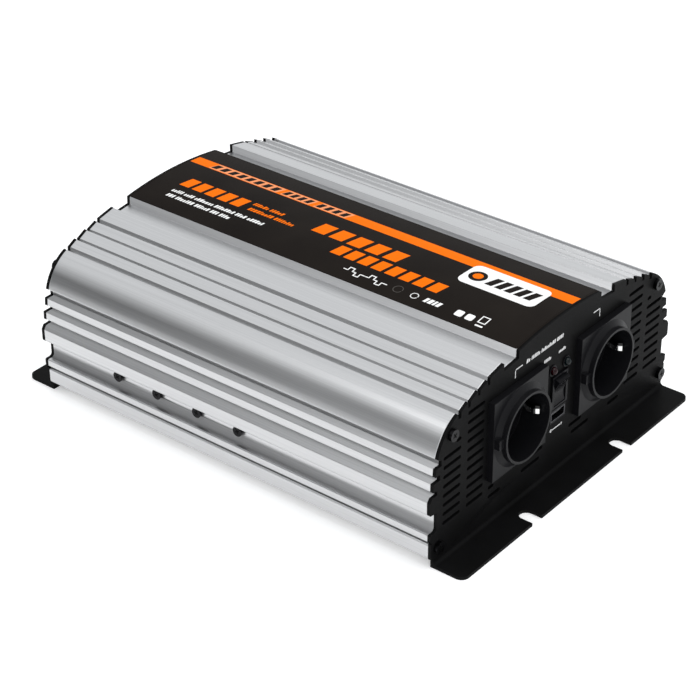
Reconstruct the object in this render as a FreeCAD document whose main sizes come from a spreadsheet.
import FreeCAD, Part
import math
import os

# A DC-to-AC power inverter in a ribbed aluminium case.
# Frame: X across, Y along the case (the AC end faces -Y), Z up, origin under the middle of the
# object on the surface that it stands on. Millimetres.

Vector = FreeCAD.Vector
Rotation = FreeCAD.Rotation
Placement = FreeCAD.Placement

DIMENSIONS = {
    # whole case
    "case_length": 285.3, "plate_sheet": 2.0, "crown_height": 102.5, "shoulder_height": 99.3,
    "plateau_half": 39.4, "case_wall": 2.2, "boss_radius": 4.2, "low_boss_radius": 3.2,
    "foot_height": 8.3, "foot_outside": 112.6, "inner_wall": 108.2, "groove_floor": 110.4,
    # gaps round screws, pins and panel cut-outs
    "screw_gap": 0.1, "slip_gap": 0.05,
    # end plate and its flange
    "flange_depth": 19.8, "flange_half_width": 112.85, "flange_sheet": 2.0, "flange_corner": 5.0,
    "flange_slot_x": 45.0, "flange_slot_radius": 4.5, "flange_slot_reach": 12.9,
    "bend_radius": 2.2, "plate_skirt_half": 115.0,
    # vents
    "vent_pitch": 5.84, "vent_width": 2.2, "vent_low": 24.5, "grille_width": 3.0, "grille_rib": 3.0,
    # tray
    "tray_low": 5.8, "tray_sheet": 1.5, "tray_half": 115.0, "tray_top": 15.7, "tray_corner": 2.0,
    "tray_lip": 1.2,
    # label
    "label_sheet": 0.35, "label_half": 38.9, "label_margin": 0.6,
    # AC socket
    "socket_x": 41.3, "socket_z": 55.6, "socket_square": 50.0, "socket_square_depth": 4.0,
    "socket_collar_radius": 21.1, "socket_recess_radius": 19.5, "socket_collar_out": 9.4,
    "socket_recess_depth": 17.5, "socket_barrel_radius": 21.5, "socket_inside": 26.0,
    "socket_floor": 3.5, "socket_hole": 22.0, "socket_cone_radius": 24.4, "socket_cone_out": 6.2,
    "socket_lug_wide": 6.0, "socket_lug_reach": 24.6, "socket_lug_out": 7.6,
    "pin_spacing": 19.0, "pin_hole_radius": 2.5, "sleeve_outer": 3.6,
    "cover_sheet": 2.0, "clip_sheet": 0.8, "clip_wide": 5.0, "clip_long": 12.0, "clip_bulge": 2.4,
    "clip_wall_gap": 0.4, "clip_foot": 2.0, "clip_crest": 7.5, "clip_tip_in": 0.6,
    # rocker switch
    "switch_z": 56.0, "bezel_wide": 15.0, "bezel_tall": 21.0, "bezel_out": 1.5,
    "switch_body_wide": 12.8, "switch_body_tall": 19.0, "switch_body_deep": 14.0,
    "switch_pocket_wide": 11.0, "switch_pocket_tall": 18.4, "switch_pocket_deep": 8.0,
    "rocker_wide": 10.5, "rocker_half": 8.2, "rocker_rise": 3.4, "rocker_waist": 1.6,
    "rocker_back": 3.0, "rocker_pivot_in": 0.5, "rocker_tilt": 11.0, "trunnion_radius": 1.2,
    "trunnion_fit": 0.05, "trunnion_reach": 6.3, "tab_wide": 4.8, "tab_sheet": 0.8, "tab_long": 7.0,
    "tab_pitch": 6.0, "rocker_back_half": 4.0,
    # lamps
    "lamp_x": 6.6, "lamp_z": 70.8, "lamp_radius": 2.4, "lamp_inside": 7.0,
    "lamp_ring_radius": 3.5, "lamp_ring_out": 0.8, "lamp_hole": 2.9, "lamp_ring_in": 3.0,
    # USB outlet
    "usb_z": 39.8, "usb_frame_wide": 15.0, "usb_frame_tall": 8.4, "usb_frame_out": 0.7,
    "usb_wide": 13.1, "usb_tall": 5.7, "usb_wall": 0.35, "usb_deep": 14.0, "usb_tongue_wide": 11.1,
    "usb_tongue_tall": 1.9, "usb_tongue_gap": 0.6, "usb_tongue_in": 1.5, "usb_back": 1.0,
    "usb_hole_gap": 0.3,
    # screws
    "plate_screw_head": 3.5, "plate_screw_rise": 2.3, "plate_screw_shank": 1.9,
    "plate_screw_hole": 1.95, "plate_screw_long": 12.0,
    "plate_screw_top_x": 98.7, "plate_screw_top_z": 77.6, "plate_screw_low_x": 109.2,
    "plate_screw_low_z": 12.2,
    "side_screw_head": 3.2, "side_screw_rise": 2.2, "side_screw_shank": 1.9, "side_screw_z": 30.0,
    "side_screw_first_y": -6.0, "side_screw_pitch": 30.6, "side_screw_reach": 98.9,
    "fan_screw_long": 18.0,
    # fans
    "fan_x": 62.0, "fan_z": 46.2, "fan_side": 60.0, "fan_deep": 20.0, "fan_bore": 28.6,
    "fan_screw_spacing": 50.0, "fan_grille_radius": 27.5, "fan_hub_radius": 12.5,
    "fan_blade_radius": 27.6, "fan_blade_sheet": 1.2, "fan_pin_radius": 1.5, "fan_pin_fit": 0.05,
    "fan_strut_radius": 13.5, "fan_strut_wide": 4.0, "fan_strut_deep": 2.5, "fan_pin_long": 15.0,
    "fan_rotor_gap": 1.0, "fan_blade_pitch": 42.0,
    # DC terminals
    "terminal_x": 15.0, "terminal_z": 50.0, "terminal_base_radius": 11.0, "terminal_base_out": 4.0,
    "terminal_neck_radius": 7.5, "terminal_neck_in": 5.0, "stud_radius": 4.0, "stud_out": 17.8,
    "stud_in": 16.0, "washer_radius": 8.2, "washer_sheet": 1.6, "knob_radius": 9.5,
    "knob_long": 12.0, "knob_flute_radius": 1.6, "stud_fit": 0.06, "stud_nut_flat": 13.0,
    "stud_nut_long": 5.0,
    "earth_z": 22.0, "earth_stud_radius": 2.5, "earth_nut_flat": 8.0, "earth_nut_long": 4.0,
    "earth_stud_out": 11.0, "earth_stud_in": 8.0,
    # boards
    "board_half_x": 105.0, "board_half_y": 116.0, "board_sheet": 1.6, "board_z": 12.8,
    "standoff_radius": 3.0, "standoff_x": 88.0, "standoff_y": 104.0, "board_screw_head": 2.8,
    "board_screw_rise": 2.0, "board_screw_shank": 1.2, "board_screw_long": 5.0,
    "tray_screw_rise": 0.9, "tray_screw_long": 3.2,
    "control_y": -84.0, "control_wide": 84.0, "control_tall": 32.0,
    # power stage
    "core_wide": 52.0, "core_deep": 26.0, "core_tall": 42.0, "core_leg": 14.0, "core_yoke": 7.0,
    "winding_build": 9.0, "winding_tall": 27.0, "winding_gap": 0.2, "transformer_pitch": 60.0,
    "transformer_y": 22.0,
    "input_cap_radius": 8.0, "input_cap_tall": 30.0, "input_cap_pitch": 21.0, "input_cap_y": 76.0,
    "bus_cap_radius": 14.0, "bus_cap_tall": 40.0, "bus_cap_x": 30.0, "bus_cap_y": -50.0,
    "inductor_ring": 15.0, "inductor_core": 6.5, "inductor_x": 70.0, "inductor_y": -48.0,
    "fuse_wide": 18.0, "fuse_deep": 5.0, "fuse_tall": 12.0, "fuse_pitch": 21.0, "fuse_y": 100.0,
    "pad_sheet": 0.5, "pad_tall": 18.0, "transistor_thick": 4.6, "transistor_wide": 10.4,
    "transistor_tall": 15.6, "transistor_low": 22.0, "lead_wide": 0.8, "lead_pitch": 2.54,
    "lead_root": 0.5, "clamp_bar_thick": 4.5, "clamp_bar_tall": 14.0, "clamp_bar_long": 168.0,
    "dc_lead_radius": 3.5, "dc_lead_bend": 14.0, "dc_lead_run": 18.0,
    "ac_lead_radius": 1.3, "ac_lead_bend": 6.0, "ac_lead_run": 9.0, "ac_lead_pitch": 6.0,
}

doc = FreeCAD.newDocument("PowerInverter")
sheet = doc.addObject("Spreadsheet::Sheet", "Dims")
for row, (alias, value) in enumerate(DIMENSIONS.items(), start=1):
    sheet.set("A%d" % row, alias)
    sheet.set("B%d" % row, repr(value))
    sheet.setAlias("B%d" % row, alias)
doc.recompute()

AXIS_TURN = {
    "+X": Rotation(Vector(0, 1, 0), 90),
    "-X": Rotation(Vector(0, 1, 0), -90),
    "+Y": Rotation(Vector(1, 0, 0), -90),
    "-Y": Rotation(Vector(1, 0, 0), 90),
    "+Z": Rotation(),
    "-Z": Rotation(Vector(1, 0, 0), 180),
}
SIDES = (("left", -1), ("right", 1))
THROUGH = 80.0   # length of a round tool that cuts right through a sub-part
nodes = []


def dim(alias):
    """A driving dimension, read from the sheet."""
    return float(sheet.get(alias))


def cell(alias):
    return "Dims." + alias


def keep(label, shape_object):
    """Make an object a named sub-part."""
    shape_object.Label = label
    nodes.append(shape_object)
    return shape_object


def bind(shape_object, **sizes):
    """Bind properties to expressions in the sheet's cells."""
    for prop, expression in sizes.items():
        shape_object.setExpression(prop, expression)


def cylinder(name, radius, height, at, axis="+Z"):
    part = doc.addObject("Part::Cylinder", name)
    bind(part, Radius=radius, Height=height)
    part.Placement = Placement(Vector(*at), AXIS_TURN[axis])
    return part


def cone(name, radius_1, radius_2, height, at, axis="+Z"):
    part = doc.addObject("Part::Cone", name)
    bind(part, Radius1=radius_1, Radius2=radius_2, Height=height)
    part.Placement = Placement(Vector(*at), AXIS_TURN[axis])
    return part


def box(name, length, width, height, centre):
    """A box whose middle is at centre; the sizes are expressions."""
    part = doc.addObject("Part::Box", name)
    bind(part, Length=length, Width=width, Height=height)
    doc.recompute([part])
    half = Vector(part.Length.Value / 2, part.Width.Value / 2, part.Height.Value / 2)
    part.Placement = Placement(Vector(*centre) - half, Rotation())
    return part


def drill(name, radius, centre, axis="+Z"):
    """A long round tool whose middle is at centre."""
    part = cylinder(name, radius, str(THROUGH), centre, axis)
    part.Placement.Base = Vector(*centre) - part.Placement.Rotation.multVec(Vector(0, 0, THROUGH / 2))
    return part


def hexagon(name, across_flats, height, at, axis):
    part = doc.addObject("Part::Prism", name)
    part.Polygon = 6
    bind(part, Circumradius="%s / sqrt(3)" % across_flats, Height=height)
    part.Placement = Placement(Vector(*at), AXIS_TURN[axis])
    return part


def fuse(name, parts):
    part = doc.addObject("Part::MultiFuse", name)
    part.Shapes = parts
    return part


def cut(name, base, tool):
    part = doc.addObject("Part::Cut", name)
    part.Base = base
    part.Tool = tool
    return part


def group(name, parts):
    """Identical separate solids that share one node."""
    part = doc.addObject("Part::Compound", name)
    part.Links = parts
    return part


def new_body(name):
    return doc.addObject("PartDesign::Body", name)


def new_sketch(body, name, role, offset=0.0):
    plane = next(item for item in body.Origin.OriginFeatures if item.Role == role)
    sketch = body.newObject("Sketcher::SketchObject", name)
    sketch.AttachmentSupport = (plane, [""])
    sketch.MapMode = "FlatFace"
    sketch.AttachmentOffset = Placement(Vector(0, 0, offset), Rotation())
    return sketch


def draw_outline(sketch, steps):
    """Draw a closed outline: each step is a point, or a pair (middle, end) for an arc."""
    ends = [step[1] if isinstance(step[0], tuple) else step for step in steps]
    for index, step in enumerate(steps):
        start = Vector(*ends[index - 1], 0)
        if isinstance(step[0], tuple):
            arc = Part.Arc(start, Vector(*step[0], 0), Vector(*step[1], 0))
            sketch.addGeometry(arc)
        else:
            sketch.addGeometry(Part.LineSegment(start, Vector(*step, 0)))


def draw_circle(sketch, x, y, radius):
    sketch.addGeometry(Part.Circle(Vector(x, y, 0), Vector(0, 0, 1), radius))


def draw_rectangle(sketch, x, y, wide, tall):
    left, right, low, top = x - wide / 2, x + wide / 2, y - tall / 2, y + tall / 2
    draw_outline(sketch, [(left, low), (right, low), (right, top), (left, top)])


def draw_slot(sketch, left, right, y, wide):
    """A straight slot along the sketch's X with round ends."""
    radius = wide / 2
    low, top = y - radius, y + radius
    draw_outline(sketch, [
        (right - radius, low), ((right, y), (right - radius, top)),
        (left + radius, top), ((left, y), (left + radius, low)),
    ])


def pad(body, sketch, length, reverse=False, symmetric=False):
    feature = body.newObject("PartDesign::Pad", sketch.Name + "Pad")
    feature.Profile = sketch
    feature.Reversed = reverse
    if symmetric:
        feature.SideType = "Symmetric"
    bind(feature, Length=length)
    body.Tip = feature
    doc.recompute()
    return feature


def pocket_through(body, sketch):
    """Cut a sketch through the whole body, both ways, and check that it cut."""
    before = body.Shape.Volume
    feature = body.newObject("PartDesign::Pocket", sketch.Name + "Pocket")
    feature.Profile = sketch
    feature.Type = "ThroughAll"
    feature.SideType = "Symmetric"
    body.Tip = feature
    doc.recompute()
    if body.Shape.Volume >= before:
        raise RuntimeError(sketch.Name + " cut nothing")
    return feature


HALF_LENGTH = dim("case_length") / 2
FRONT = -HALF_LENGTH
REAR = HALF_LENGTH
FRONT_INSIDE = FRONT + dim("plate_sheet")
REAR_INSIDE = REAR - dim("plate_sheet")


# ---------------------------------------------------------------- case

# Upward ribs of the sloping shoulder: inner x, outer x, top at each, then the groove beside it:
# its floor and where it ends.
SHOULDER_RIBS = (
    (53.0, 65.3, 97.8, 95.2, 91.3, 67.5),
    (67.5, 74.0, 94.5, 91.8, 89.3, 76.0),
    (76.0, 82.5, 92.5, 89.2, 86.5, 84.7),
    (84.7, 90.5, 90.0, 87.0, 83.7, 93.0),
)


def shoulder_steps():
    """Riser beside the plateau, the flat band, the four shoulder ribs and the round corner."""
    edge = dim("plateau_half")
    steps = [(edge + 0.2, 94.6), (53.0, 93.2)]
    for left, right, top_left, top_right, floor, groove_end in SHOULDER_RIBS:
        steps += [(left, top_left), (right, top_right), (right + 0.2, floor), (groove_end, floor)]
    steps += [(93.4, 87.0), ((104.6, 78.5), (110.3, 67.6))]
    return steps


def side_steps():
    """Ribs and grooves down the side, as far as the deep groove's lower rib."""
    return [
        (107.0, 65.6), (107.0, 62.4), (111.7, 62.4), (112.1, 57.6), (108.2, 57.4), (108.2, 54.0),
        (113.7, 54.0), (113.9, 49.0), (110.3, 48.5), (110.3, 45.8), (114.7, 45.7), (116.4, 43.2),
        (116.4, 36.0), (115.8, 35.2), (dim("groove_floor"), 34.5), (dim("groove_floor"), 24.5),
        ((111.0, 23.1), (112.4, 22.5)), (115.2, 22.5), (115.7, 21.8), (115.7, 18.2),
        (114.2, 16.7), (dim("foot_outside"), 16.7),
    ]


def inner_steps():
    """The foot, then up the inside: straight wall, round corner, and on under the shoulder ribs."""
    foot, wall = dim("foot_height"), dim("inner_wall")
    edge = dim("plateau_half") - dim("case_wall")
    return [
        (dim("foot_outside"), foot), (wall, foot), (wall, 44.0), (105.9, 54.0), (104.8, 65.0),
        ((101.0, 74.0), (91.5, 81.5)), (83.5, 84.3), (75.0, 87.1), (66.0, 89.1), (53.0, 91.0),
        (edge, 92.2), (edge, dim("shoulder_height") - dim("case_wall")),
    ]


def crown_arc():
    """The outer arc over the plateau, which ends at its right edge."""
    return (0.0, dim("crown_height")), (dim("plateau_half"), dim("shoulder_height"))


def mirrored(steps, start):
    """The left side's steps, from the bottom up, for right-side steps that began at start."""
    points = [start] + [step[1] if isinstance(step[0], tuple) else step for step in steps]
    result = []
    for index in range(len(steps) - 1, -1, -1):
        step = steps[index]
        end = (-points[index][0], points[index][1])
        if isinstance(step[0], tuple):
            result.append(((-step[0][0], step[0][1]), end))
        else:
            result.append(end)
    return result


def make_upper_case():
    body = new_body("UpperCase")
    sketch = new_sketch(body, "CaseProfile", "XZ_Plane")
    crown, right = crown_arc(), shoulder_steps() + side_steps() + inner_steps()
    edge_x, edge_z = right[-1]
    inner_crown = ((0.0, dim("crown_height") - dim("case_wall")), (-edge_x, edge_z))
    draw_outline(sketch, [crown] + right + [inner_crown] + mirrored(right, crown[1]))
    pad(body, sketch, "Dims.case_length - 2 * Dims.plate_sheet", symmetric=True)
    bosses = new_sketch(body, "ScrewBosses", "XZ_Plane")
    for side in (-1, 1):
        draw_circle(bosses, side * dim("plate_screw_top_x"), dim("plate_screw_top_z"),
                    dim("boss_radius"))
        draw_circle(bosses, side * dim("plate_screw_low_x"), dim("plate_screw_low_z"),
                    dim("low_boss_radius"))
    pad(body, bosses, "Dims.case_length - 2 * Dims.plate_sheet", symmetric=True)
    holes = new_sketch(body, "ScrewChannels", "XZ_Plane")
    draw_plate_screw_holes(holes)
    pocket_through(body, holes)
    side_holes = new_sketch(body, "ClampScrewHoles", "YZ_Plane")
    for y in clamp_screw_places():
        draw_circle(side_holes, y, dim("side_screw_z"), dim("side_screw_shank") + dim("screw_gap"))
    pocket_through(body, side_holes)
    return keep("upper_case", body)


def plate_screw_places():
    return [(side * x, z) for side in (-1, 1) for x, z in (
        (dim("plate_screw_top_x"), dim("plate_screw_top_z")),
        (dim("plate_screw_low_x"), dim("plate_screw_low_z")))]


def draw_plate_screw_holes(sketch):
    for x, z in plate_screw_places():
        draw_circle(sketch, x, z, dim("plate_screw_hole"))


def clamp_screw_places():
    first = dim("side_screw_first_y")
    return [first + index * dim("side_screw_pitch") for index in range(4)]


def make_bottom_tray():
    body = new_body("BottomTray")
    sketch = new_sketch(body, "TrayProfile", "XZ_Plane")
    low, half, top = dim("tray_low"), dim("tray_half"), dim("tray_top")
    wall, corner, lip = dim("tray_sheet"), dim("tray_corner"), dim("tray_lip")
    nick = 1 - math.sqrt(0.5)
    inner = corner - wall
    right = [
        (half - corner, low), ((half - nick * corner, low + nick * corner), (half, low + corner)),
        (half, top - lip), ((half - nick * lip, top - nick * lip), (half - lip, top)),
        (half - wall, top), (half - wall, low + corner),
        ((half - wall - nick * inner, low + wall + nick * inner), (half - corner, low + wall)),
    ]
    start = (corner - half, low + wall)
    draw_outline(sketch, right + [start] + mirrored(right[1:], right[0]))
    pad(body, sketch, "Dims.case_length - 2 * Dims.plate_sheet", symmetric=True)
    holes = new_sketch(body, "StandoffHoles", "XY_Plane")
    for x, y in standoff_places():
        draw_circle(holes, x, y, dim("board_screw_shank") + dim("screw_gap"))
    pocket_through(body, holes)
    return keep("bottom_tray", body)


def plate_outline():
    """The case outline, closed below with the flange's width at the floor."""
    half, skirt, crown = dim("flange_half_width"), dim("plate_skirt_half"), crown_arc()
    right = shoulder_steps() + side_steps()[:-1]
    right += [(skirt, 16.2), (skirt, 6.5), (half, 4.4), (half, 0.0)]
    return [crown] + right + [(-half, 0.0)] + mirrored(right, crown[1])


def draw_flange(sketch, out):
    """The flange seen from above, with two slots open to its free edge; out is -1 or 1."""
    half, corner = dim("flange_half_width"), dim("flange_corner")
    edge, slot_x = out * dim("flange_depth"), dim("flange_slot_x")
    radius, centre = dim("flange_slot_radius"), out * dim("flange_slot_reach")
    bend = corner * (1 - math.sqrt(0.5))
    steps = [(-half, 0.0), (-half, edge - out * corner),
             ((-half + bend, edge - out * bend), (-half + corner, edge))]
    for x in (-slot_x, slot_x):
        steps += [(x - radius, edge), (x - radius, centre),
                  ((x, centre - out * radius), (x + radius, centre)), (x + radius, edge)]
    steps += [(half - corner, edge), ((half - bend, edge - out * bend), (half, edge - out * corner)),
              (half, 0.0)]
    draw_outline(sketch, steps)


def round_bend(body, out):
    """Round the inside of the bend between the plate and its flange."""
    radius, top, bite = dim("bend_radius"), dim("flange_sheet"), dim("flange_sheet") / 4
    nick = radius * (1 - math.sqrt(0.5))
    sketch = new_sketch(body, body.Name + "Bend", "YZ_Plane")
    draw_outline(sketch, [
        (-out * bite, top - bite), (out * radius, top - bite), (out * radius, top),
        ((out * nick, top + nick), (0.0, top + radius)), (-out * bite, top + radius),
    ])
    pad(body, sketch, "2 * Dims.flange_half_width", symmetric=True)


def start_plate(name, out):
    """A plate with its flange, standing in its own frame with its outer face at y = 0."""
    body = new_body(name)
    outline = new_sketch(body, name + "Outline", "XZ_Plane")
    draw_outline(outline, plate_outline())
    pad(body, outline, cell("plate_sheet"), reverse=out < 0)
    flange = new_sketch(body, name + "Flange", "XY_Plane")
    draw_flange(flange, out)
    pad(body, flange, cell("flange_sheet"))
    round_bend(body, out)
    screws = new_sketch(body, name + "ScrewHoles", "XZ_Plane")
    draw_plate_screw_holes(screws)
    pocket_through(body, screws)
    return body


# Front vents: inner and outer columns beside each socket, and how many rows each has.
VENT_COLUMNS = ((69.5, 84.5, 0, 11), (90.0, 105.3, 0, 8), (90.0, 94.2, 8, 9))
LOW_VENTS = ((12.8, 25.6, 0), (15.8, 33.2, -1), (53.2, 64.4, -1), (59.2, 64.4, 0))


def draw_front_vents(sketch):
    low, pitch, wide = dim("vent_low"), dim("vent_pitch"), dim("vent_width")
    for side in (-1, 1):
        for inner, outer, first, last in VENT_COLUMNS:
            for row in range(first, last):
                ends = sorted((side * inner, side * outer))
                draw_slot(sketch, ends[0], ends[1], low + row * pitch, wide)
        for inner, outer, row in LOW_VENTS:
            ends = sorted((side * inner, side * outer))
            draw_slot(sketch, ends[0], ends[1], low + row * pitch, wide)


def make_front_plate():
    body = start_plate("FrontPlate", -1)
    vents = new_sketch(body, "FrontVents", "XZ_Plane")
    draw_front_vents(vents)
    pocket_through(body, vents)
    openings = new_sketch(body, "FrontOpenings", "XZ_Plane")
    for _name, side in SIDES:
        draw_circle(openings, side * dim("socket_x"), dim("socket_z"), dim("socket_hole"))
        draw_circle(openings, side * dim("lamp_x"), dim("lamp_z"), dim("lamp_hole"))
    slack = 2 * dim("screw_gap")
    draw_rectangle(openings, 0, dim("switch_z"), dim("switch_body_wide") + slack,
                   dim("switch_body_tall") + slack)
    gap = 2 * dim("usb_hole_gap")
    draw_rectangle(openings, 0, dim("usb_z"), dim("usb_wide") + gap, dim("usb_tall") + gap)
    pocket_through(body, openings)
    body.setExpression("Placement.Base.y", "-Dims.case_length / 2")
    return keep("front_plate", body)


def draw_fan_grille(sketch, centre_x):
    """Slots at the vents' pitch, clipped to a circle, with a rib up the middle."""
    pitch, wide, radius = dim("vent_pitch"), dim("grille_width"), dim("fan_grille_radius")
    rib = dim("grille_rib")
    rows = int(radius // pitch)
    for row in range(-rows, rows + 1):
        height = row * pitch
        reach = math.sqrt(radius * radius - height * height)
        for side in (-1, 1):
            ends = sorted((centre_x + side * rib, centre_x + side * reach))
            draw_slot(sketch, ends[0], ends[1], dim("fan_z") + height, wide)


def fan_screw_places():
    half = dim("fan_screw_spacing") / 2
    return [(side * dim("fan_x") + dx, dim("fan_z") + dz)
            for side in (-1, 1) for dx in (-half, half) for dz in (-half, half)]


def make_rear_plate():
    body = start_plate("RearPlate", 1)
    grille = new_sketch(body, "FanGrilles", "XZ_Plane")
    for _name, side in SIDES:
        draw_fan_grille(grille, side * dim("fan_x"))
    pocket_through(body, grille)
    openings = new_sketch(body, "RearOpenings", "XZ_Plane")
    for x, z in fan_screw_places():
        draw_circle(openings, x, z, dim("side_screw_shank") + dim("screw_gap"))
    for _name, side in SIDES:
        draw_circle(openings, side * dim("terminal_x"), dim("terminal_z"),
                    dim("terminal_neck_radius") + dim("slip_gap"))
    draw_circle(openings, 0, dim("earth_z"), dim("earth_stud_radius") + dim("slip_gap"))
    pocket_through(body, openings)
    body.setExpression("Placement.Base.y", "Dims.case_length / 2")
    return keep("rear_plate", body)


def make_top_label():
    body = new_body("TopLabel")
    sketch = new_sketch(body, "LabelProfile", "XZ_Plane")
    half, edge = dim("label_half"), dim("plateau_half")
    crown, shoulder, thick = dim("crown_height"), dim("shoulder_height"), dim("label_sheet")
    sag = crown - shoulder
    radius = (edge * edge + sag * sag) / (2 * sag)
    low = crown - radius + math.sqrt(radius * radius - half * half)
    draw_outline(sketch, [
        (-half, low), ((0.0, crown), (half, low)), (half, low + thick),
        ((0.0, crown + thick), (-half, low + thick)),
    ])
    pad(body, sketch, "Dims.case_length - 2 * Dims.label_margin - 2 * Dims.plate_sheet",
        symmetric=True)
    return keep("top_label", body)


# ---------------------------------------------------------------- screws

def pan_screw(name, head_radius, rise, shank_radius, shank_length, at, axis, inward):
    """A pan-head screw whose head stands on a face at the point at, and points along axis."""
    head = cylinder(name + "Head", head_radius, rise, at, axis)
    shank = cylinder(name + "Shank", shank_radius, shank_length, at, inward)
    return fuse(name, [head, shank])


def make_plate_screws(name, label, y, axis, inward):
    screws = []
    for index, (x, z) in enumerate(plate_screw_places()):
        screws.append(pan_screw("%s%d" % (name, index), cell("plate_screw_head"),
                                cell("plate_screw_rise"), cell("plate_screw_shank"),
                                cell("plate_screw_long"), (x, y, z), axis, inward))
    return keep(label, group(name, screws))


def make_side_screws():
    for label, side in SIDES:
        screws = []
        face = side * dim("groove_floor")
        reach = "Dims.groove_floor - Dims.side_screw_reach"
        outward = "+X" if side > 0 else "-X"
        inward = "-X" if side > 0 else "+X"
        for index, y in enumerate(clamp_screw_places()):
            name = "ClampScrew%s%d" % (label.title(), index)
            screws.append(pan_screw(name, cell("side_screw_head"), cell("side_screw_rise"),
                                    cell("side_screw_shank"), reach,
                                    (face, y, dim("side_screw_z")), outward, inward))
        keep("clamp_screws_" + label, group("ClampScrews" + label.title(), screws))


def make_fan_screws():
    screws = []
    for index, (x, z) in enumerate(fan_screw_places()):
        screws.append(pan_screw("FanScrew%d" % index, cell("plate_screw_head"),
                                cell("plate_screw_rise"), cell("side_screw_shank"),
                                cell("fan_screw_long"), (x, REAR, z), "+Y", "-Y"))
    keep("fan_screws", group("FanScrews", screws))


# ---------------------------------------------------------------- AC sockets

def make_socket(label, side):
    tag = "Socket" + label.title()
    x, z = side * dim("socket_x"), dim("socket_z")
    out = dim("socket_collar_out")
    deep = dim("socket_square_depth")
    square = box(tag + "Square", cell("socket_square"), cell("socket_square_depth"),
                 cell("socket_square"), (x, FRONT - deep / 2, z))
    collar = cylinder(tag + "Collar", cell("socket_collar_radius"), cell("socket_collar_out"),
                      (x, FRONT, z), "-Y")
    skirt = cone(tag + "Skirt", cell("socket_cone_radius"), cell("socket_collar_radius"),
                 "Dims.socket_cone_out - Dims.socket_square_depth", (x, FRONT - deep, z), "-Y")
    lugs = box(tag + "Lugs", "2 * Dims.socket_lug_reach", cell("socket_lug_out"),
               cell("socket_lug_wide"), (x, FRONT - dim("socket_lug_out") / 2, z))
    barrel = cylinder(tag + "Barrel", cell("socket_barrel_radius"), cell("socket_inside"),
                      (x, FRONT, z), "+Y")
    solid = fuse(tag + "Solid", [square, collar, skirt, lugs, barrel])
    floor_y = FRONT - out + dim("socket_recess_depth")
    back_y = floor_y + dim("socket_floor")
    recess = cylinder(tag + "Recess", cell("socket_recess_radius"), cell("socket_recess_depth"),
                      (x, FRONT - out, z), "+Y")
    chamber = cylinder(tag + "Chamber", cell("socket_recess_radius"), cell("socket_inside"),
                       (x, back_y, z), "+Y")
    tools = [recess, chamber]
    for index, rise in enumerate((-1, 1)):
        height = z + rise * dim("pin_spacing") / 2
        tools.append(drill("%sPinHole%d" % (tag, index), cell("pin_hole_radius"),
                           (x, floor_y, height), "+Y"))
    housing = cut(tag, solid, fuse(tag + "Hollows", tools))
    keep("ac_socket_" + label, housing)
    make_earth_clips(label, x, z, floor_y)
    make_contacts(label, x, z, back_y)


def make_earth_clips(label, x, z, floor_y):
    """Two bowed strips that stand on the recess floor at three and nine o'clock."""
    tag = "EarthClips" + label.title()
    thick, long, bulge = dim("clip_sheet"), dim("clip_long"), dim("clip_bulge")
    wall = dim("socket_recess_radius") - dim("clip_wall_gap")
    foot, rise, tip = dim("clip_foot"), dim("clip_crest"), dim("clip_tip_in")
    clips = []
    for index, turn in enumerate((-1, 1)):
        body = new_body("%sBody%d" % (tag, index))
        sketch = new_sketch(body, "%sSketch%d" % (tag, index), "XY_Plane",
                            z - dim("clip_wide") / 2)
        base = x + turn * wall
        crest = base - turn * bulge
        draw_outline(sketch, [
            (base, floor_y), (base, floor_y - foot),
            ((crest, floor_y - rise), (base - turn * tip, floor_y - long)),
            (base - turn * (tip + thick), floor_y - long),
            ((crest - turn * thick, floor_y - rise), (base - turn * thick, floor_y - foot)),
            (base - turn * thick, floor_y),
        ])
        pad(body, sketch, cell("clip_wide"))
        clips.append(body)
    keep("earth_clips_" + label, group(tag, clips))


def make_contacts(label, x, z, back_y):
    """Sleeves behind the pin holes, and the cover that closes the contact chamber."""
    tag = "Contacts" + label.title()
    cover_y = FRONT + dim("socket_inside") - dim("cover_sheet")
    length = cover_y - back_y
    sleeves = []
    for index, rise in enumerate((-1, 1)):
        centre = (x, back_y, z + rise * dim("pin_spacing") / 2)
        tube = cylinder("%sTube%d" % (tag, index), cell("sleeve_outer"), str(length), centre, "+Y")
        bore = drill("%sBore%d" % (tag, index), cell("pin_hole_radius"), centre, "+Y")
        sleeves.append(cut("%sSleeve%d" % (tag, index), tube, bore))
    keep("contact_sleeves_" + label, group(tag, sleeves))
    cover = cylinder("SocketCover" + label.title(), "Dims.socket_recess_radius - Dims.slip_gap",
                     cell("cover_sheet"), (x, cover_y, z), "+Y")
    keep("socket_cover_" + label, cover)


# ---------------------------------------------------------------- rocker switch

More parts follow.
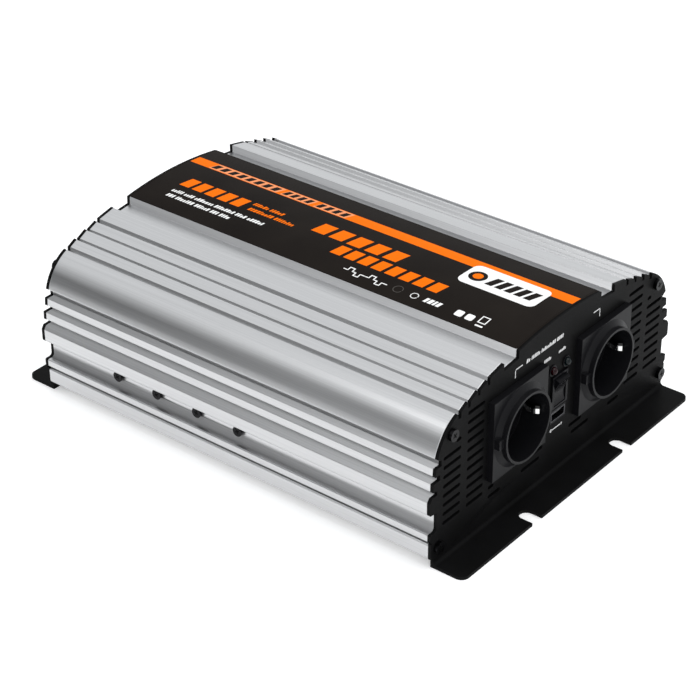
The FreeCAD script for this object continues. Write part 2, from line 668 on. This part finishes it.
def make_switch():
    z = dim("switch_z")
    pivot_y = FRONT + dim("rocker_pivot_in")
    bezel = box("SwitchBezel", cell("bezel_wide"), cell("bezel_out"), cell("bezel_tall"),
                (0, FRONT - dim("bezel_out") / 2, z))
    shell = box("SwitchShell", cell("switch_body_wide"), cell("switch_body_deep"),
                cell("switch_body_tall"), (0, FRONT + dim("switch_body_deep") / 2, z))
    pocket = box("SwitchPocket", cell("switch_pocket_wide"), "2 * Dims.switch_pocket_deep",
                 cell("switch_pocket_tall"), (0, FRONT, z))
    pivot_hole = drill("SwitchPivotHole", "Dims.trunnion_radius + Dims.trunnion_fit",
                       (0, pivot_y, z), "+X")
    housing = cut("SwitchHousing", fuse("SwitchSolid", [bezel, shell]),
                  fuse("SwitchHollows", [pocket, pivot_hole]))
    keep("switch_housing", housing)
    make_rocker(pivot_y, z)
    tabs = []
    tab_y = FRONT + dim("switch_body_deep") + dim("tab_long") / 2
    for index in (-1, 0, 1):
        tabs.append(box("SwitchTab%d" % (index + 1), cell("tab_wide"), cell("tab_long"),
                        cell("tab_sheet"), (0, tab_y, z + index * dim("tab_pitch"))))
    keep("switch_terminals", group("SwitchTerminals", tabs))


def make_rocker(pivot_y, z):
    """The rocker in its own frame, pivot at the origin, tilted to its off position."""
    half, rise, waist = dim("rocker_half"), dim("rocker_rise"), dim("rocker_waist")
    back, back_half = dim("rocker_back"), dim("rocker_back_half")
    radius = math.hypot(half, rise)
    skirt_angle = math.radians(7)
    mid_angle = (math.atan2(rise, half) - skirt_angle) / 2
    side = (radius * math.cos(mid_angle), radius * math.sin(mid_angle))
    low = (radius * math.cos(skirt_angle), -radius * math.sin(skirt_angle))
    body = new_body("RockerBody")
    sketch = new_sketch(body, "RockerProfile", "YZ_Plane")
    draw_outline(sketch, [
        ((-waist, 0.0), (-rise, half)),
        ((-side[1], side[0]), (-low[1], low[0])), (back, back_half), (back, -back_half),
        (-low[1], -low[0]),
        ((-side[1], -side[0]), (-rise, -half)),
    ])
    pad(body, sketch, cell("rocker_wide"), symmetric=True)
    pins = new_sketch(body, "RockerTrunnions", "YZ_Plane")
    draw_circle(pins, 0, 0, dim("trunnion_radius"))
    pad(body, pins, "2 * Dims.trunnion_reach", symmetric=True)
    body.Placement = Placement(Vector(0, pivot_y, z), Rotation(Vector(1, 0, 0), 0))
    body.setExpression("Placement.Rotation.Angle", "Dims.rocker_tilt")
    keep("rocker", body)


# ---------------------------------------------------------------- lamps and USB

def make_lamps():
    rings = []
    for (label, side), lamp in zip(SIDES, ("fault", "power")):
        x, z = side * dim("lamp_x"), dim("lamp_z")
        tag = lamp.title() + "Lamp"
        inner = dim("lamp_ring_out")
        disc = cylinder(tag + "RingDisc", cell("lamp_ring_radius"), cell("lamp_ring_out"),
                        (x, FRONT, z), "-Y")
        neck = cylinder(tag + "RingNeck", cell("lamp_hole"), cell("lamp_ring_in"), (x, FRONT, z), "+Y")
        bore = drill(tag + "RingBore", cell("lamp_radius"), (x, FRONT, z), "+Y")
        rings.append(cut(tag + "Ring", fuse(tag + "RingSolid", [disc, neck]), bore))
        stem = cylinder(tag + "Stem", cell("lamp_radius"),
                        "Dims.lamp_inside + Dims.lamp_ring_out", (x, FRONT - inner, z), "+Y")
        dome = doc.addObject("Part::Sphere", tag + "Dome")
        bind(dome, Radius=cell("lamp_radius"))
        dome.Placement = Placement(Vector(x, FRONT - inner, z), Rotation())
        keep(lamp + "_lamp", fuse(tag, [stem, dome]))
    keep("lamp_rings", group("LampRings", rings))


def make_usb():
    z = dim("usb_z")
    out, deep, wall = dim("usb_frame_out"), dim("usb_deep"), dim("usb_wall")
    frame = box("UsbFrameSolid", cell("usb_frame_wide"), cell("usb_frame_out"),
                cell("usb_frame_tall"), (0, FRONT - out / 2, z))
    window = box("UsbFrameWindow", cell("usb_wide"), "4 * Dims.usb_frame_out", cell("usb_tall"),
                 (0, FRONT - out / 2, z))
    keep("usb_frame", cut("UsbFrame", frame, window))
    tube = box("UsbTube", cell("usb_wide"), cell("usb_deep"), cell("usb_tall"),
               (0, FRONT - out + deep / 2, z))
    hollow = box("UsbHollow", "Dims.usb_wide - 2 * Dims.usb_wall", cell("usb_deep"),
                 "Dims.usb_tall - 2 * Dims.usb_wall", (0, FRONT - out + deep / 2 - dim("usb_back"), z))
    keep("usb_shell", cut("UsbShell", tube, hollow))
    tongue_z = z + dim("usb_tall") / 2 - wall - dim("usb_tongue_gap") - dim("usb_tongue_tall") / 2
    tongue_y = FRONT - out + (dim("usb_tongue_in") + deep - dim("usb_back")) / 2
    tongue = box("UsbTongue", cell("usb_tongue_wide"),
                 "Dims.usb_deep - Dims.usb_back - Dims.usb_tongue_in", cell("usb_tongue_tall"),
                 (0, tongue_y, tongue_z))
    keep("usb_tongue", tongue)


# ---------------------------------------------------------------- fans

def make_fan(label, side):
    tag = "Fan" + label.title()
    x, z = side * dim("fan_x"), dim("fan_z")
    deep = dim("fan_deep")
    middle = REAR_INSIDE - deep / 2
    block = box(tag + "Block", cell("fan_side"), cell("fan_deep"), cell("fan_side"),
                (x, middle, z))
    tools = [drill(tag + "Bore", cell("fan_bore"), (x, middle, z), "+Y")]
    half = dim("fan_screw_spacing") / 2
    for index, (dx, dz) in enumerate(((-half, -half), (-half, half), (half, -half), (half, half))):
        tools.append(drill("%sHole%d" % (tag, index), "Dims.side_screw_shank + Dims.screw_gap",
                           (x + dx, middle, z + dz), "+Y"))
    ring = cut(tag + "Ring", block, fuse(tag + "Hollows", tools))
    strut_y = REAR_INSIDE - deep
    motor = cylinder(tag + "Motor", cell("fan_strut_radius"), cell("fan_strut_deep"),
                     (x, strut_y, z), "+Y")
    pin = cylinder(tag + "Pin", cell("fan_pin_radius"), cell("fan_pin_long"), (x, strut_y, z), "+Y")
    struts = [box("%sStrut%d" % (tag, index), length, cell("fan_strut_deep"), height,
                  (x, strut_y + dim("fan_strut_deep") / 2, z))
              for index, (length, height) in enumerate((
                  ("2 * Dims.fan_bore + 1", cell("fan_strut_wide")),
                  (cell("fan_strut_wide"), "2 * Dims.fan_bore + 1")))]
    keep("fan_frame_" + label, fuse(tag, [ring, motor, pin] + struts))
    make_rotor(label, x, z)


def make_rotor(label, x, z):
    """Hub with seven pitched blades, turning on the frame's pin."""
    blade_count = 7
    origin, spin = Vector(0, 0, 0), Vector(0, 1, 0)
    gap, thick, tip = dim("fan_rotor_gap"), dim("fan_blade_sheet"), dim("fan_blade_radius")
    strut_y = REAR_INSIDE - dim("fan_deep") + dim("fan_strut_deep")
    long = dim("fan_deep") - dim("fan_strut_deep") - 3 * gap
    rotor = Part.makeCylinder(dim("fan_hub_radius"), long, origin, spin)
    blade = Part.makeBox(tip, 2 * long, thick, Vector(0, -long, -thick / 2))
    blade.rotate(origin, Vector(1, 0, 0), dim("fan_blade_pitch"))
    blade.translate(spin * (long / 2))
    blade = blade.common(Part.makeCylinder(tip, long - gap, spin * (gap / 2), spin))
    for index in range(blade_count):
        turned = blade.copy()
        turned.rotate(origin, spin, 360.0 * index / blade_count)
        rotor = rotor.fuse(turned)
    bore = Part.makeCylinder(dim("fan_pin_radius") + dim("fan_pin_fit"), long - 2 * gap, origin, spin)
    feature = doc.addObject("Part::Feature", "FanRotor" + label.title())
    feature.Shape = rotor.cut(bore)
    feature.Placement = Placement(Vector(x, strut_y + gap, z), Rotation())
    keep("fan_rotor_" + label, feature)


# ---------------------------------------------------------------- DC terminals

def make_terminal(label, side):
    tag = "Terminal" + label.title()
    x, z = side * dim("terminal_x"), dim("terminal_z")
    flange = cylinder(tag + "Flange", cell("terminal_base_radius"), cell("terminal_base_out"),
                      (x, REAR, z), "+Y")
    neck = cylinder(tag + "Neck", cell("terminal_neck_radius"), cell("terminal_neck_in"),
                    (x, REAR, z), "-Y")
    hole = drill(tag + "Hole", cell("stud_radius"), (x, REAR, z), "+Y")
    keep("terminal_base_" + label, cut(tag + "Base", fuse(tag + "BaseSolid", [flange, neck]), hole))
    stud = cylinder(tag + "Rod", cell("stud_radius"), "Dims.stud_out + Dims.stud_in",
                    (x, REAR - dim("stud_in"), z), "+Y")
    nut = hexagon(tag + "Nut", cell("stud_nut_flat"), cell("stud_nut_long"),
                  (x, REAR - dim("terminal_neck_in"), z), "-Y")
    keep("terminal_stud_" + label, fuse(tag + "Stud", [stud, nut]))
    washer_y = REAR + dim("terminal_base_out")
    disc = cylinder(tag + "WasherDisc", cell("washer_radius"), cell("washer_sheet"),
                    (x, washer_y, z), "+Y")
    eye = drill(tag + "WasherEye", "Dims.stud_radius + Dims.stud_fit", (x, washer_y, z), "+Y")
    keep("terminal_washer_" + label, cut(tag + "Washer", disc, eye))
    make_knob(label, x, z, washer_y + dim("washer_sheet"))


def make_knob(label, x, z, y):
    """A fluted cap, open at its inner end, that runs on the stud."""
    flute_count = 12
    body = new_body("Knob" + label.title())
    outline = new_sketch(body, "KnobOutline" + label.title(), "XZ_Plane")
    draw_circle(outline, 0, 0, dim("knob_radius"))
    pad(body, outline, cell("knob_long"), reverse=True)
    flutes = new_sketch(body, "KnobFlutes" + label.title(), "XZ_Plane")
    for index in range(flute_count):
        angle = 2 * math.pi * index / flute_count
        reach = dim("knob_radius") + dim("knob_flute_radius") / 2
        draw_circle(flutes, reach * math.cos(angle), reach * math.sin(angle),
                    dim("knob_flute_radius"))
    draw_circle(flutes, 0, 0, dim("stud_radius") + dim("stud_fit"))
    pocket_through(body, flutes)
    body.Placement = Placement(Vector(x, y, z), Rotation())
    keep("terminal_knob_" + label, body)


def make_earth_terminal():
    z = dim("earth_z")
    rod = cylinder("EarthRod", cell("earth_stud_radius"),
                   "Dims.earth_stud_out + Dims.earth_stud_in",
                   (0, REAR - dim("earth_stud_in"), z), "+Y")
    inner = hexagon("EarthInnerNut", cell("earth_nut_flat"), cell("earth_nut_long"),
                    (0, REAR_INSIDE, z), "-Y")
    keep("earth_stud", fuse("EarthStud", [rod, inner]))
    block = hexagon("EarthNutBlock", cell("earth_nut_flat"), cell("earth_nut_long"),
                    (0, REAR, z), "+Y")
    bore = drill("EarthNutBore", "Dims.earth_stud_radius + Dims.slip_gap / 2", (0, REAR, z), "+Y")
    keep("earth_nut", cut("EarthNut", block, bore))


# ---------------------------------------------------------------- boards

def standoff_places():
    return [(side * dim("standoff_x"), step * dim("standoff_y"))
            for side in (-1, 1) for step in (-1, 0, 1)]


def make_boards():
    tray_floor = dim("tray_low") + dim("tray_sheet")
    board_top = dim("board_z") + dim("board_sheet")
    board = box("MainBoardBlank", "2 * Dims.board_half_x", "2 * Dims.board_half_y",
                cell("board_sheet"), (0, 0, dim("board_z") + dim("board_sheet") / 2))
    loose = "Dims.board_screw_shank + Dims.slip_gap"
    drills, standoffs, screws, tray_screws = [], [], [], []
    for index, (x, y) in enumerate(standoff_places()):
        drills.append(drill("BoardDrill%d" % index, loose, (x, y, board_top)))
        post = cylinder("StandoffPost%d" % index, cell("standoff_radius"),
                        "Dims.board_z - %s" % tray_floor, (x, y, tray_floor), "+Z")
        bore = drill("StandoffBore%d" % index, loose, (x, y, board_top))
        standoffs.append(cut("Standoff%d" % index, post, bore))
        screws.append(pan_screw("BoardScrew%d" % index, cell("board_screw_head"),
                                cell("board_screw_rise"), cell("board_screw_shank"),
                                cell("board_screw_long"), (x, y, board_top), "+Z", "-Z"))
        tray_screws.append(pan_screw("TrayScrew%d" % index, cell("board_screw_head"),
                                     cell("tray_screw_rise"), cell("board_screw_shank"),
                                     cell("tray_screw_long"), (x, y, dim("tray_low")), "-Z", "+Z"))
    keep("main_board", cut("MainBoard", board, fuse("BoardDrills", drills)))
    keep("board_standoffs", group("BoardStandoffs", standoffs))
    keep("board_screws", group("BoardScrews", screws))
    keep("tray_screws", group("TrayScrews", tray_screws))
    control = box("ControlBoard", cell("control_wide"), cell("board_sheet"),
                  cell("control_tall"), (0, dim("control_y"), board_top + dim("control_tall") / 2))
    keep("control_board", control)


def make_transformers():
    """Three shell-type transformers: the windings fill both windows round the middle leg."""
    base = dim("board_z") + dim("board_sheet")
    y = dim("transformer_y")
    leg, yoke = dim("core_leg"), dim("core_yoke")
    window_wide = (dim("core_wide") - 2 * yoke - leg) / 2
    cores, windings = [], []
    for index in (-1, 0, 1):
        x = index * dim("transformer_pitch")
        middle = base + dim("core_tall") / 2
        tag = "Transformer%d" % (index + 1)
        block = box(tag + "Block", cell("core_wide"), cell("core_deep"), cell("core_tall"),
                    (x, y, middle))
        windows = [box("%sWindow%d" % (tag, number), str(window_wide), "2 * Dims.core_deep",
                       "Dims.core_tall - 2 * Dims.core_yoke",
                       (x + side * (leg + window_wide) / 2, y, middle))
                   for number, side in enumerate((-1, 1))]
        cores.append(cut(tag + "Core", block, fuse(tag + "Windows", windows)))
        coil = box(tag + "Coil", "Dims.core_leg + 2 * Dims.winding_build",
                   "Dims.core_deep + 2 * Dims.winding_build", cell("winding_tall"), (x, y, middle))
        leg_hole = box(tag + "LegHole", "Dims.core_leg + 2 * Dims.winding_gap",
                       "Dims.core_deep + 2 * Dims.winding_gap", cell("core_tall"), (x, y, middle))
        windings.append(cut(tag + "Winding", coil, leg_hole))
    keep("transformer_cores", group("TransformerCores", cores))
    keep("transformer_windings", group("TransformerWindings", windings))


def spread(count, pitch):
    """Places of a centred row."""
    return [(index - (count - 1) / 2) * pitch for index in range(count)]


def make_board_components():
    base = dim("board_z") + dim("board_sheet")
    row_count = 8
    input_caps = [cylinder("InputCapacitor%d" % index, cell("input_cap_radius"),
                           cell("input_cap_tall"), (x, dim("input_cap_y"), base))
                  for index, x in enumerate(spread(row_count, dim("input_cap_pitch")))]
    keep("input_capacitors", group("InputCapacitors", input_caps))
    bus_caps = [cylinder("BusCapacitor%d" % index, cell("bus_cap_radius"), cell("bus_cap_tall"),
                         (side * dim("bus_cap_x"), dim("bus_cap_y"), base))
                for index, side in enumerate((-1, 1))]
    keep("bus_capacitors", group("BusCapacitors", bus_caps))
    coil = doc.addObject("Part::Torus", "FilterInductor")
    bind(coil, Radius1=cell("inductor_ring"), Radius2=cell("inductor_core"))
    coil.Placement = Placement(Vector(dim("inductor_x"), dim("inductor_y"),
                                      base + dim("inductor_core")), Rotation())
    keep("filter_inductor", coil)
    fuses = [box("Fuse%d" % index, cell("fuse_wide"), cell("fuse_deep"), cell("fuse_tall"),
                 (x, dim("fuse_y"), base + dim("fuse_tall") / 2))
             for index, x in enumerate(spread(row_count, dim("fuse_pitch")))]
    keep("input_fuses", group("InputFuses", fuses))


def make_power_stage():
    """Transistors pressed against the case wall, a thermal pad behind them, a bar in front."""
    inner_wall = dim("inner_wall")
    bar_middle_y = dim("side_screw_first_y") + 1.5 * dim("side_screw_pitch")
    middle_z = dim("side_screw_z")
    pads = []
    for label, side in SIDES:
        pad_x = inner_wall - dim("pad_sheet") / 2
        pad_block = box("ThermalPadBlank" + label.title(), cell("pad_sheet"),
                        cell("clamp_bar_long"), cell("pad_tall"),
                        (side * pad_x, bar_middle_y, middle_z))
        bar_x = inner_wall - dim("pad_sheet") - dim("transistor_thick") - dim("clamp_bar_thick") / 2
        bar = box("ClampBarBlank" + label.title(), cell("clamp_bar_thick"), cell("clamp_bar_long"),
                  cell("clamp_bar_tall"), (side * bar_x, bar_middle_y, middle_z))
        drills = [[drill("%sDrill%s%d" % (kind, label.title(), index),
                         "Dims.side_screw_shank + Dims.slip_gap", (side * pad_x, y, middle_z), "+X")
                   for index, y in enumerate(clamp_screw_places())] for kind in ("Pad", "Bar")]
        pads.append(cut("ThermalPad" + label.title(), pad_block,
                        fuse("PadDrills" + label.title(), drills[0])))
        keep("clamp_bar_" + label, cut("ClampBar" + label.title(), bar,
                                       fuse("BarDrills" + label.title(), drills[1])))
        make_transistors(label, side, inner_wall, bar_middle_y)
    keep("thermal_pads", group("ThermalPads", pads))


def make_transistors(label, side, inner_wall, bar_middle_y):
    """Two transistors between each pair of clamp screws, and one pair beyond each end screw."""
    base = dim("board_z") + dim("board_sheet")
    x = inner_wall - dim("pad_sheet") - dim("transistor_thick") / 2
    lead_x = x - (dim("transistor_thick") - dim("lead_wide")) / 2
    low, root = dim("transistor_low"), dim("lead_root")
    places = [bar_middle_y + middle + shift for middle in spread(5, dim("side_screw_pitch"))
              for shift in spread(2, 0.44 * dim("side_screw_pitch"))]
    transistors = []
    for index, y in enumerate(places):
        tag = "Transistor%s%d" % (label.title(), index)
        block = box(tag + "Block", cell("transistor_thick"), cell("transistor_wide"),
                    cell("transistor_tall"),
                    (side * x, y, low + dim("transistor_tall") / 2))
        leads = [box("%sLead%d" % (tag, number), cell("lead_wide"), cell("lead_wide"),
                     "Dims.transistor_low - Dims.board_z - Dims.board_sheet + Dims.lead_root",
                     (side * lead_x, y + shift, (base + low + root) / 2))
                 for number, shift in enumerate(spread(3, dim("lead_pitch")))]
        transistors.append(fuse(tag, [block] + leads))
    keep("transistors_" + label, group("Transistors" + label.title(), transistors))


# ---------------------------------------------------------------- internal leads

def bent_lead(name, radius, start, corner, end, bend):
    """A round lead along two straight runs with a tangent arc at the corner."""
    start, corner, end = Vector(*start), Vector(*corner), Vector(*end)
    to_start = (start - corner).normalize()
    to_end = (end - corner).normalize()
    half_turn = (math.pi - to_start.getAngle(to_end)) / 2
    setback = bend * math.tan(half_turn)
    first, last = corner + to_start * setback, corner + to_end * setback
    middle = (to_start + to_end).normalize()
    apex = corner + middle * (bend / math.cos(half_turn) - bend)
    wire = Part.Wire([Part.LineSegment(start, first).toShape(),
                      Part.Arc(first, apex, last).toShape(),
                      Part.LineSegment(last, end).toShape()])
    ring = Part.Wire([Part.Circle(start, corner - start, radius).toShape()])
    feature = doc.addObject("Part::Feature", name)
    feature.Shape = wire.makePipeShell([ring], True, False)
    return feature


def make_leads():
    base = dim("board_z") + dim("board_sheet")
    stud_end = REAR - dim("stud_in")
    corner_y = stud_end - dim("dc_lead_run")
    dc_leads = []
    for label, side in SIDES:
        x, z = side * dim("terminal_x"), dim("terminal_z")
        dc_leads.append(bent_lead("DcLead" + label.title(), dim("dc_lead_radius"),
                                  (x, stud_end, z), (x, corner_y, z), (x, corner_y, base),
                                  dim("dc_lead_bend")))
    keep("dc_leads", group("DcLeads", dc_leads))
    back, z = FRONT + dim("socket_inside"), dim("socket_z")
    corner_y = back + dim("ac_lead_run")
    ac_leads = []
    for label, side in SIDES:
        for index, shift in enumerate(spread(3, dim("ac_lead_pitch"))):
            x = side * dim("socket_x") + shift
            ac_leads.append(bent_lead("AcLead%s%d" % (label.title(), index),
                                      dim("ac_lead_radius"), (x, back, z), (x, corner_y, z),
                                      (x, corner_y, base), dim("ac_lead_bend")))
    keep("ac_leads", group("AcLeads", ac_leads))


# ---------------------------------------------------------------- build

def build():
    make_upper_case()
    make_bottom_tray()
    make_front_plate()
    make_rear_plate()
    make_top_label()
    make_plate_screws("FrontPlateScrews", "front_plate_screws", FRONT, "-Y", "+Y")
    make_plate_screws("RearPlateScrews", "rear_plate_screws", REAR, "+Y", "-Y")
    make_side_screws()
    make_switch()
    make_lamps()
    make_usb()
    for label, side in SIDES:
        make_socket(label, side)
        make_fan(label, side)
        make_terminal(label, side)
    make_fan_screws()
    make_earth_terminal()
    make_boards()
    make_transformers()
    make_board_components()
    make_power_stage()
    make_leads()
    doc.recompute()


def check_document():
    for item in doc.Objects:
        if "Invalid" in item.State or "Error" in item.State:
            raise RuntimeError("%s did not compute" % item.Name)
    for node in nodes:
        if node.Shape.isNull() or not node.Shape.isValid():
            raise RuntimeError("%s has no valid shape" % node.Label)


def export_nodes():
    os.makedirs("parts", exist_ok=True)
    for node in nodes:
        node.Shape.exportStep("parts/%s.step" % node.Label)


build()
check_document()
export_nodes()
print(len(nodes), "nodes written")
